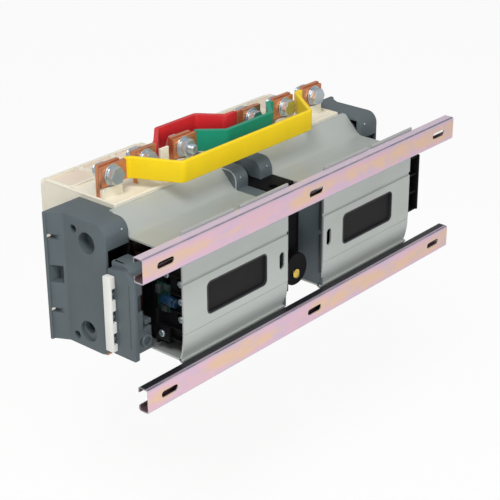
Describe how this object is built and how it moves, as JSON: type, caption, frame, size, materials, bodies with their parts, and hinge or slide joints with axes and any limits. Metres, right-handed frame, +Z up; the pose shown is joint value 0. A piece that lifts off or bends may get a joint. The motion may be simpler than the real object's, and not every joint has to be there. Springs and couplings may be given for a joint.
{
  "type": "reversing contactor",
  "caption": "Two mechanically interlocked three-pole contactors side by side on slotted C rails, with coloured busbar links crossing between their line terminals.",
  "frame": {"origin": "centre of the four outer rail slots, on the rails' outer faces", "axes": "+X along the rails, +Y from the mounting plane to the arc box covers, +Z up"},
  "size_m": [0.582, 0.265, 0.246],
  "materials": {
    "rail_zinc": "yellow-passivated zinc, iridescent pink and gold",
    "frame_paint": "smooth light grey-green paint",
    "cream_plastic": "fine moulded texture",
    "grey_plastic": "fine moulded texture",
    "black_plastic": "satin moulded",
    "white_plastic": "satin moulded",
    "brown_plastic": "arc-resistant moulding",
    "red_plastic": "glossy",
    "yellow_sleeve": "copper bar in a tight yellow sleeve",
    "green_sleeve": "copper bar in a tight green sleeve",
    "red_sleeve": "copper bar in a tight red sleeve",
    "copper": "bare copper, lightly tarnished",
    "copper_wire": "enamelled copper wire",
    "brass": "bare brass",
    "zinc_steel": "bluish zinc plate",
    "bare_steel": "bare steel",
    "core_steel": "blackened laminated steel",
    "board": "green circuit board with black moulded base"
  },
  "bodies": {
    "base": {"rail_upper": "rail_zinc", "rail_lower": "rail_zinc", "link_yellow": "yellow_sleeve", "link_green": "green_sleeve", "link_red": "red_sleeve", "interlock_housing": "black_plastic", "interlock_pins": "bare_steel", "interlock_stop": "brass", "coil_cover": "black_plastic", "back_frame_left": "frame_paint", "rail_fixings_left": "zinc_steel", "magnet_yoke_left": "core_steel", "coil_bobbin_left": "black_plastic", "coil_winding_left": "copper_wire", "inner_panel_left": "grey_plastic", "outer_housing_left": "grey_plastic", "inner_housing_left": "grey_plastic", "arc_box_left": "cream_plastic", "arc_cover_left": "cream_plastic", "splitter_plates_left": "bare_steel", "terminal_bars_left": "copper", "terminal_bolts_left": "zinc_steel", "terminal_nuts_left": "zinc_steel", "auxiliary_block_left": "black_plastic", "auxiliary_strip_left": "white_plastic", "coil_board_left": "board", "coil_screws_left": "zinc_steel", "back_frame_right": "frame_paint", "rail_fixings_right": "zinc_steel", "magnet_yoke_right": "core_steel", "coil_bobbin_right": "black_plastic", "coil_winding_right": "copper_wire", "inner_panel_right": "grey_plastic", "outer_housing_right": "grey_plastic", "inner_housing_right": "grey_plastic", "arc_box_right": "cream_plastic", "arc_cover_right": "cream_plastic", "splitter_plates_right": "bare_steel", "terminal_bars_right": "copper", "terminal_bolts_right": "zinc_steel", "terminal_nuts_right": "zinc_steel", "auxiliary_block_right": "black_plastic", "auxiliary_strip_right": "white_plastic", "coil_board_right": "board", "coil_screws_right": "zinc_steel"},
    "carrier_left": {"armature_left": "core_steel", "contact_carrier_left": "brown_plastic", "contact_bridges_left": "copper", "contact_springs_left": "zinc_steel", "indicator_left": "red_plastic"},
    "carrier_right": {"armature_right": "core_steel", "contact_carrier_right": "brown_plastic", "contact_bridges_right": "copper", "contact_springs_right": "zinc_steel", "indicator_right": "red_plastic"},
    "lever_left": {"interlock_lever_left": "bare_steel"},
    "lever_right": {"interlock_lever_right": "bare_steel"}
  },
  "joints": [
    {"name": "carrier_left_travel", "type": "slide", "parent": "base", "child": "carrier_left", "axis": [0, -1, 0], "range_m": [0, 0.008], "stiffness_N_per_m": 8000, "springref_m": -0.012},
    {"name": "lever_left_turn", "type": "hinge", "parent": "base", "child": "lever_left", "pos_m": [-0.006, 0.0768, 0], "axis": [0, 0, 1], "range_deg": [0, 24]},
    {"name": "carrier_right_travel", "type": "slide", "parent": "base", "child": "carrier_right", "axis": [0, -1, 0], "range_m": [0, 0.008], "stiffness_N_per_m": 8000, "springref_m": -0.012},
    {"name": "lever_right_turn", "type": "hinge", "parent": "base", "child": "lever_right", "pos_m": [0.006, 0.0768, 0], "axis": [0, 0, -1], "range_deg": [0, 24]}
  ],
  "couplings": [
    {"joint": "lever_left_turn", "follows": "carrier_left_travel", "rad_per_m": 52.36},
    {"joint": "lever_right_turn", "follows": "carrier_right_travel", "rad_per_m": 52.36}
  ]
}
